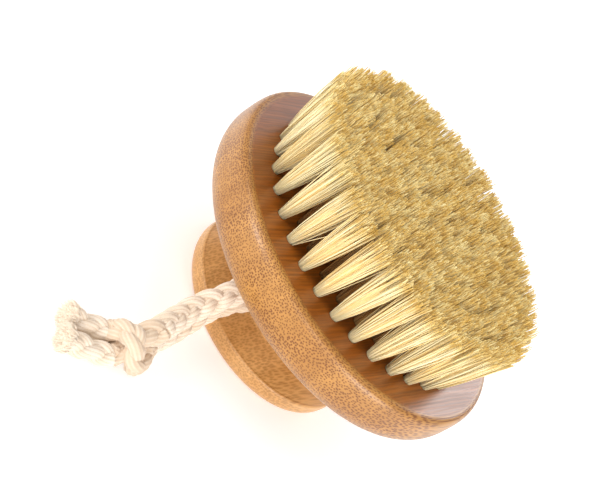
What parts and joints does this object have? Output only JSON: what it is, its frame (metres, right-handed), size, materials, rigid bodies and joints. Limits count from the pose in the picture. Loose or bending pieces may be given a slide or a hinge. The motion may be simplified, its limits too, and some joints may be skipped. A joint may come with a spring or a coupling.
{
  "type": "body dry brush",
  "caption": "Round wooden dry brush with a disc of plant-fibre bristle tufts, a turned finger knob and a knotted cotton rope loop.",
  "frame": {"origin": "centre of the knob's flat end face, which the brush stands on", "axes": "+Z along the turning axis from the knob towards the bristle tips; the rope's near end leaves the neck towards -Y"},
  "size_m": [0.101, 0.1372, 0.064],
  "materials": {
    "head_wood": "satin lacquered bamboo",
    "knob_wood": "satin lacquered bamboo",
    "dowel_wood": "raw beech",
    "anchor_metal": "plain wire",
    "bristle": "natural plant fibre, matt",
    "rope": "laid natural cotton"
  },
  "bodies": {
    "root": {"brush_head": "head_wood", "knob": "knob_wood", "joint_dowel": "dowel_wood", "tuft_anchors": "anchor_metal", "tuft_ring_1": "bristle", "tuft_ring_2": "bristle", "tuft_ring_3": "bristle", "tuft_ring_4": "bristle", "tuft_ring_5": "bristle", "tuft_ring_6": "bristle", "rope_in_bore": "rope", "rope_near_strand": "rope", "rope_far_strand": "rope", "rope_knot": "rope", "rope_tail_a": "rope", "rope_tail_b": "rope"}
  },
  "joints": []
}
